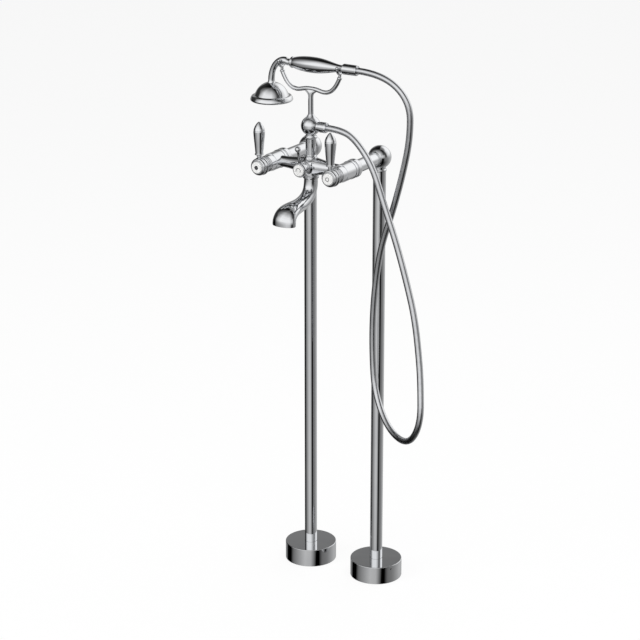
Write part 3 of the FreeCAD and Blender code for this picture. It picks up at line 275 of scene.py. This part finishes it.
# ---------------------------------------------------------------- hose
# The hose's own route, the same points as in the part's source.
HOSE_ROUTE_MM = (
    (34.4, -118.0, 916.0),
    (63.0, -118.0, 916.0),
    (92.0, -118.0, 904.0),
    (129.0, -120.0, 862.0),
    (154.0, -122.0, 797.0),
    (182.0, -125.0, 731.0),
    (207.0, -130.0, 664.0),
    (230.0, -137.0, 598.0),
    (245.0, -146.0, 527.0),
    (254.0, -155.0, 482.0),
    (265.0, -172.0, 411.0),
    (226.0, -149.0, 355.0),
    (164.0, -113.0, 361.0),
    (119.0, -86.0, 416.0),
    (111.0, -82.0, 488.0),
    (112.0, -84.0, 563.0),
    (120.0, -88.0, 637.0),
    (135.0, -94.0, 708.0),
    (161.0, -100.0, 776.0),
    (184.0, -107.0, 847.0),
    (202.0, -113.0, 919.0),
    (203.0, -117.0, 986.0),
    (150.0, -118.0, 1027.5),
    (97.0, -118.0, 1027.5),
)
ROUTE_ORDER = 3
ROUTE_STEPS = 24                         # points read between two places of the route
HOSE_RADIUS = 0.006
HOSE_SIDES = 20
RIB_PITCH = 0.0021
RIB_DEPTH = 0.00016
RINGS_PER_RIB = 4


def route_points():
    """Points along the smooth line of the hose's route, read from its spline."""
    curve = bpy.data.curves.new("hose_line", "CURVE")
    curve.dimensions = "3D"
    spline = curve.splines.new("NURBS")
    spline.points.add(len(HOSE_ROUTE_MM) - 1)
    for knot, place in zip(spline.points, HOSE_ROUTE_MM):
        knot.co = (place[0] * MM, place[1] * MM, place[2] * MM, 1.0)
    spline.order_u = ROUTE_ORDER
    spline.use_endpoint_u = True
    spline.resolution_u = ROUTE_STEPS
    guide = bpy.data.objects.new("hose_line", curve)
    scene.collection.objects.link(guide)
    bpy.context.view_layer.update()
    depsgraph = bpy.context.evaluated_depsgraph_get()
    line = bpy.data.meshes.new_from_object(guide.evaluated_get(depsgraph))
    points = [vertex.co.copy() for vertex in line.vertices]
    bpy.data.objects.remove(guide)
    bpy.data.curves.remove(curve)
    bpy.data.meshes.remove(line)
    return points


def hose_line():
    """The centres of the hose's rings, evenly spaced along its line, and the line's length."""
    points = route_points()
    lengths = [0.0]
    for before, after in zip(points, points[1:]):
        lengths.append(lengths[-1] + (after - before).length)
    step = RIB_PITCH / RINGS_PER_RIB
    centres = []
    place = 0
    for i in range(int(lengths[-1] / step) + 1):
        along = i * step
        while place < len(points) - 2 and lengths[place + 1] < along:
            place += 1
        share = (along - lengths[place]) / (lengths[place + 1] - lengths[place])
        centres.append(points[place].lerp(points[place + 1], share))
    return centres, lengths[-1]


def hose_rings(centres):
    """A ring of points round each centre, wide on a rib's back and narrow between two."""
    side = Vector((0.0, 1.0, 0.0))
    rings = []
    for i, centre in enumerate(centres):
        ahead = centres[min(i + 1, len(centres) - 1)] - centres[max(i - 1, 0)]
        ahead.normalize()
        side = (side - ahead * side.dot(ahead)).normalized()
        other = ahead.cross(side)
        groove = 0.5 - 0.5 * math.cos(math.tau * i / RINGS_PER_RIB)
        radius = HOSE_RADIUS - RIB_DEPTH * groove
        ring = []
        for k in range(HOSE_SIDES):
            angle = math.tau * k / HOSE_SIDES
            across = radius * math.cos(angle)
            ring.append(centre + side * across + other * (radius * math.sin(angle)))
        rings.append(ring)
    return rings


def skin(name, rings):
    """A closed mesh of quads over a list of equal rings of points."""
    mesh = bpy.data.meshes.new(name)
    form = bmesh.new()
    layers = [[form.verts.new(point) for point in ring] for ring in rings]
    count = len(rings[0])
    for lower, upper in zip(layers, layers[1:]):
        for i in range(count):
            j = (i + 1) % count
            form.faces.new((lower[i], lower[j], upper[j], upper[i]))
    form.faces.new(list(reversed(layers[0])))
    form.faces.new(layers[-1])
    bmesh.ops.recalc_face_normals(form, faces=form.faces)
    form.to_mesh(mesh)
    form.free()
    mesh.shade_smooth()
    return mesh


def make_hose():
    """The hose: fine ribs along its whole length."""
    line, length = hose_line()
    mesh = skin("shower_hose_ribbed", hose_rings(line))
    mesh.materials.append(MATERIALS["hose_metal"])
    hose = bpy.data.objects.new("shower_hose_ribbed", mesh)
    scene.collection.objects.link(hose)
    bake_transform(hose)
    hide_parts("shower_hose")


# ---------------------------------------------------------------- marks on the caps
AXIS_HEIGHT = 0.842                      # the valves' axes above the floor
VALVE_REACH = 0.075                      # a side valve's axis from the middle
MARK_LIFT = 0.0001                       # how far a fired mark stands proud of its cap
MARK_SIDES = 48                          # steps in a full round
MARK_RADIUS = 0.0038                     # of the spot and the ring
SPOT_HOLE = 0.00002                      # too small to see
RING_HOLE = 0.0028
ARC_INNER, ARC_OUTER = 0.0040, 0.0050    # the diverter's sign of turn
ARC_FROM, ARC_TO = -30.0, 210.0          # degrees, from +X and up over the top
FULL_ROUND = 360.0
MERGE_DISTANCE = 0.000001


def make_mark(name, cap, body, centre_x, inner, outer, first=0.0, last=FULL_ROUND):
    """A flat ring or part of one, fired on the front of a cap."""
    face_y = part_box(cap)[0].y
    steps = int(MARK_SIDES * (last - first) / FULL_ROUND)
    mesh = bpy.data.meshes.new(name)
    form = bmesh.new()
    rows = []
    for i in range(steps + 1):
        angle = math.radians(first + (last - first) * i / steps)
        row = []
        for radius in (inner, outer):
            x = centre_x + radius * math.cos(angle)
            z = AXIS_HEIGHT + radius * math.sin(angle)
            row.append(form.verts.new((x, face_y - MARK_LIFT, z)))
            row.append(form.verts.new((x, face_y + MARK_LIFT, z)))
        rows.append(row)
    for one, two in zip(rows, rows[1:]):
        for a, b in ((0, 2), (2, 3), (3, 1), (1, 0)):
            form.faces.new((one[a], two[a], two[b], one[b]))
    if last - first < FULL_ROUND:
        for row in (rows[0], rows[-1]):
            form.faces.new((row[0], row[2], row[3], row[1]))
    bmesh.ops.remove_doubles(form, verts=form.verts, dist=MERGE_DISTANCE)
    bmesh.ops.recalc_face_normals(form, faces=form.faces)
    form.to_mesh(mesh)
    form.free()
    mesh.materials.append(MATERIALS["mark_paint"])
    mark = bpy.data.objects.new(name, mesh)
    scene.collection.objects.link(mark)
    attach(mark, body)


def make_marks():
    """Plain shapes on the caps: a full spot, an open ring and an arc of turn."""
    make_mark("mark_spot", "index_cap_left", "hot_lever", -VALVE_REACH, SPOT_HOLE, MARK_RADIUS)
    make_mark("mark_ring", "index_cap_right", "cold_lever", VALVE_REACH, RING_HOLE, MARK_RADIUS)
    make_mark(
        "mark_turn", "diverter_cap", "diverter", 0.0, ARC_INNER, ARC_OUTER, ARC_FROM, ARC_TO,
    )


# ---------------------------------------------------------------- studio
# Grey levels of the studio, as the metal sees it, by degrees from the front towards +X: the
# low part that the standing pipes mirror, the part above it and the top.
LOW_WALLS = (
    (-180.0, 0.80), (-110.0, 0.30), (-100.0, 0.0), (-70.0, 0.0), (-55.0, 0.20), (-20.0, 0.45),
    (5.0, 0.65), (30.0, 0.60), (55.0, 0.0), (70.0, 0.0), (85.0, 0.20), (115.0, 0.40),
    (160.0, 0.80), (180.0, 0.80),
)
HIGH_WALLS = (
    (-180.0, 0.95), (-164.0, 0.85), (-155.0, 0.24), (-130.0, 0.24), (-118.0, 0.03),
    (-72.0, 0.03), (-56.0, 0.50), (-34.0, 0.88), (30.0, 0.88), (62.0, 0.55),
    (80.0, 0.36), (90.0, 0.06), (104.0, 0.06), (118.0, 0.60), (150.0, 0.95), (180.0, 0.95),
)
TOP_WALLS = (
    (-180.0, 0.95), (-164.0, 0.75), (-154.0, 0.03), (-92.0, 0.02), (-62.0, 0.25), (-32.0, 0.80),
    (30.0, 0.80), (56.0, 0.40), (76.0, 0.05), (104.0, 0.05), (122.0, 0.60), (150.0, 0.95),
    (180.0, 0.95),
)
# The same by height, from straight down (0) over level (0.5) to straight up (1).
FRONT_PROFILE = (
    (0.0, 0.10), (0.10, 0.03), (0.18, 0.10), (0.30, 0.80), (0.42, 0.90), (0.60, 1.0),
    (0.80, 1.05), (0.92, 0.60), (1.0, 0.12),
)
BACK_PROFILE = (
    (0.0, 0.10), (0.10, 0.30), (0.30, 0.52), (0.40, 0.55), (0.56, 0.85), (0.62, 1.0),
    (0.85, 1.0), (0.93, 0.30), (1.0, 0.12),
)
# Where one gives way to the next, in parts of a unit direction.
LOW_TO_HIGH = (-0.12, 0.16)
HIGH_TO_TOP = (0.38, 0.52)
FRONT_TO_BACK = (-0.25, 0.25)
STUDIO_STRENGTH = 1.15
WHITE = (1.0, 1.0, 1.0, 1.0)

FLOOR_HALF = 14.0
FLOOR_WHITE = 0.88                       # share of plain white that the camera sees in it
PAPER_DARK, PAPER_LIGHT = (0.93,) * 3, (0.95,) * 3
PAPER_GRAIN = (40.0, 4.0)                # scale and detail
PAPER_ROUGHNESS = 0.9

# Each lamp's name, place, width and watts.
LAMPS = (
    ("key_lamp", (-1.6, -2.4, 2.6), 1.6, 26.0),
    ("fill_lamp", (2.4, -1.6, 2.0), 1.8, 18.0),
    ("top_lamp", (0.2, 0.3, 4.0), 3.0, 90.0),
)
LAMP_TARGET = Vector((0.0, -0.1, 0.5))


def greys(stops):
    """(position, level) stops as greys."""
    return [(position, (level,) * 3) for position, level in stops]


def wall_greys(walls):
    """(degrees, level) stops as greys along a full turn from 0 to 1."""
    return greys([((degrees + 180.0) / 360.0, level) for degrees, level in walls])


def make_world():
    """White for the camera; the metal sees a grey studio with dark flags between its walls."""
    world = bpy.data.worlds.new("studio")
    scene.world = world
    world.use_nodes = True
    tree = world.node_tree
    tree.nodes.clear()
    place = tree.nodes.new("ShaderNodeTexCoord")
    axes = tree.nodes.new("ShaderNodeSeparateXYZ")
    tree.links.new(place.outputs["Generated"], axes.inputs["Vector"])
    right, away, up = (axes.outputs[axis] for axis in "XYZ")
    angle = math_node(tree, "ARCTAN2", right, math_node(tree, "MULTIPLY", away, -1.0))
    turn = spread(tree, angle, -math.pi, math.pi)
    low = ramp(tree, turn, wall_greys(LOW_WALLS))
    high = ramp(tree, turn, wall_greys(HIGH_WALLS))
    top = ramp(tree, turn, wall_greys(TOP_WALLS))
    lower = mix_node(tree, "MIX", spread(tree, up, *LOW_TO_HIGH), low, high)
    walls = mix_node(tree, "MIX", spread(tree, up, *HIGH_TO_TOP), lower, top)
    height = spread(tree, up, -1.0, 1.0)
    front = ramp(tree, height, greys(FRONT_PROFILE))
    back = ramp(tree, height, greys(BACK_PROFILE))
    profile = mix_node(tree, "MIX", spread(tree, away, *FRONT_TO_BACK), front, back)
    mirrored = tree.nodes.new("ShaderNodeBackground")
    mirrored.inputs["Strength"].default_value = STUDIO_STRENGTH
    tree.links.new(mix_node(tree, "MULTIPLY", 1.0, walls, profile), mirrored.inputs["Color"])
    seen = tree.nodes.new("ShaderNodeBackground")
    seen.inputs["Color"].default_value = WHITE
    output = tree.nodes.new("ShaderNodeOutputWorld")
    show_camera(
        tree, 1.0, seen.outputs["Background"], mirrored.outputs["Background"],
        output.inputs["Surface"],
    )


def make_floor():
    """A wide pale floor that keeps the filler's shadow and looks white."""
    material, tree, shader = new_material("floor_paper")
    colour = tint(tree, noise(tree, *PAPER_GRAIN), PAPER_DARK, PAPER_LIGHT)
    tree.links.new(colour, shader.inputs["Base Color"])
    shader.inputs["Roughness"].default_value = PAPER_ROUGHNESS
    shader.inputs["Specular IOR Level"].default_value = 0.0
    paper = tree.nodes.new("ShaderNodeEmission")
    show_camera(
        tree, FLOOR_WHITE, paper.outputs["Emission"], shader.outputs["BSDF"],
        tree.nodes["Material Output"].inputs["Surface"],
    )
    mesh = bpy.data.meshes.new("floor")
    corners = ((-1, -1), (1, -1), (1, 1), (-1, 1))
    places = [(x * FLOOR_HALF, y * FLOOR_HALF, 0.0) for x, y in corners]
    mesh.from_pydata(places, [], [(0, 1, 2, 3)])
    mesh.materials.append(material)
    floor = bpy.data.objects.new("floor", mesh)
    floor.visible_glossy = False
    scene.collection.objects.link(floor)


def make_lamp(name, place, width, watts):
    """A soft square lamp aimed at the middle of the filler, out of the metal's sight."""
    data = bpy.data.lights.new(name, "AREA")
    data.size = width
    data.energy = watts
    lamp = bpy.data.objects.new(name, data)
    lamp.location = place
    aim = LAMP_TARGET - Vector(place)
    lamp.rotation_euler = aim.to_track_quat("-Z", "Y").to_euler()
    lamp.visible_glossy = False
    scene.collection.objects.link(lamp)


scene.view_settings.view_transform = "Standard"
make_camera()
make_hose()
dress_cad_nodes()
make_marks()
make_world()
make_floor()
for lamp_settings in LAMPS:
    make_lamp(*lamp_settings)
